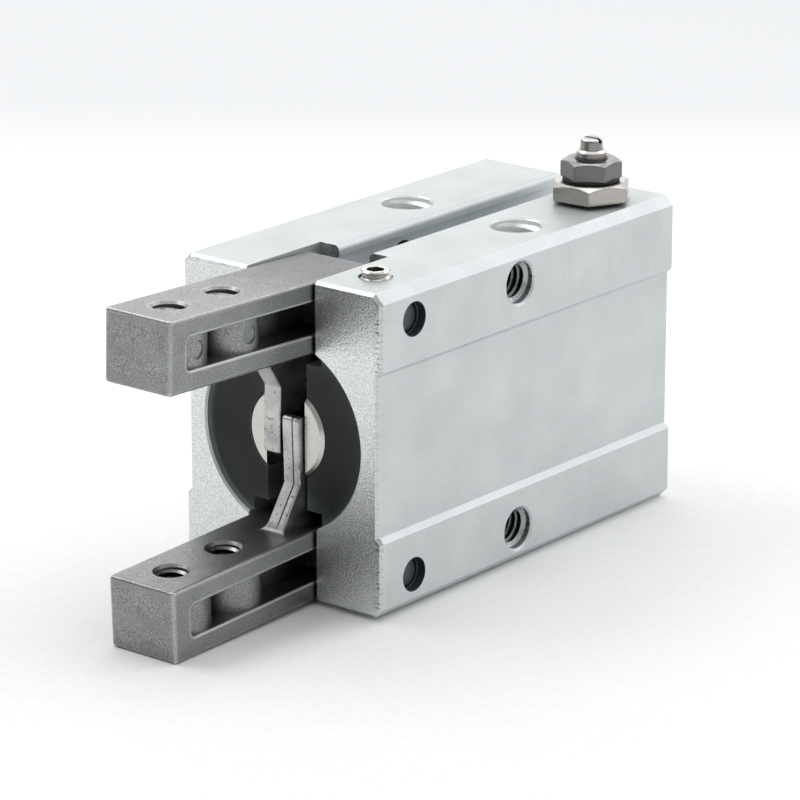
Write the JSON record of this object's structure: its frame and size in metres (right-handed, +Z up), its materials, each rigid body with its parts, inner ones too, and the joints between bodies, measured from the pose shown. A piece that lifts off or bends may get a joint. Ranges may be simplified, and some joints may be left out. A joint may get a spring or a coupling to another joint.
{
  "type": "pneumatic angular gripper",
  "caption": "Small air-driven gripper: a grooved aluminium body with a piston whose rod swings a pair of fingers open and closed about pins at the front.",
  "frame": {"origin": "centre of the rear mounting face, on the cylinder's axis", "axes": "+Z is up, the way the upper finger opens; the fingers point along -Y; X runs across the gripper"},
  "size_m": [0.0236, 0.0639, 0.0374],
  "materials": {
    "anodised_body": "fine blasted, clear anodised",
    "black_resin": "satin black",
    "finger_steel": "fine cast, ground on its faces",
    "black_steel": "black oxide",
    "bright_steel": "ground",
    "nickel": "bright nickel plate",
    "dark_nickel": "dark nickel plate",
    "alloy": "turned",
    "seal_rubber": "matte",
    "bumper_rubber": "matte",
    "magnet": "dull"
  },
  "bodies": {
    "body": {"body_housing": "anodised_body", "lever_guide": "black_resin", "upper_pivot_pin": "black_steel", "lower_pivot_pin": "black_steel", "upper_set_screw": "nickel", "lower_set_screw": "nickel", "rod_seal": "seal_rubber", "front_bumper": "bumper_rubber", "rear_bumper": "bumper_rubber", "rear_cover": "alloy", "cover_o_ring": "seal_rubber", "retaining_ring": "black_steel", "valve_body": "nickel", "valve_gasket": "seal_rubber", "nut_o_ring": "seal_rubber", "lock_nut": "dark_nickel", "passage_plug": "alloy"},
    "upper_jaw": {"upper_finger": "finger_steel"},
    "lower_jaw": {"lower_finger": "finger_steel"},
    "piston_set": {"piston_rod": "bright_steel", "cross_pin": "bright_steel", "piston": "alloy", "piston_seal": "seal_rubber", "magnet_ring": "magnet", "magnet_holder": "alloy", "piston_screw": "black_steel"},
    "needle": {"needle_screw": "nickel", "needle_seal": "seal_rubber"}
  },
  "joints": [
    {"name": "piston_slide", "type": "slide", "parent": "body", "child": "piston_set", "axis": [0, -1, 0], "range_m": [-0.00153, 0.00284]},
    {"name": "upper_finger_swing", "type": "hinge", "parent": "body", "child": "upper_jaw", "pos_m": [0, -0.03995, 0.01215], "axis": [-1, 0, 0], "range_deg": [-7, 13]},
    {"name": "lower_finger_swing", "type": "hinge", "parent": "body", "child": "lower_jaw", "pos_m": [0, -0.03995, -0.01215], "axis": [1, 0, 0], "range_deg": [-7, 13]},
    {"name": "needle_turn", "type": "hinge", "parent": "body", "child": "needle", "pos_m": [0.0066, -0.00655, 0.018], "axis": [0, 0, 1], "range_deg": [-180, 180]}
  ],
  "couplings": [
    {"joint": "upper_finger_swing", "follows": "piston_slide", "rad_per_m": 79.61},
    {"joint": "lower_finger_swing", "follows": "piston_slide", "rad_per_m": 79.61}
  ]
}
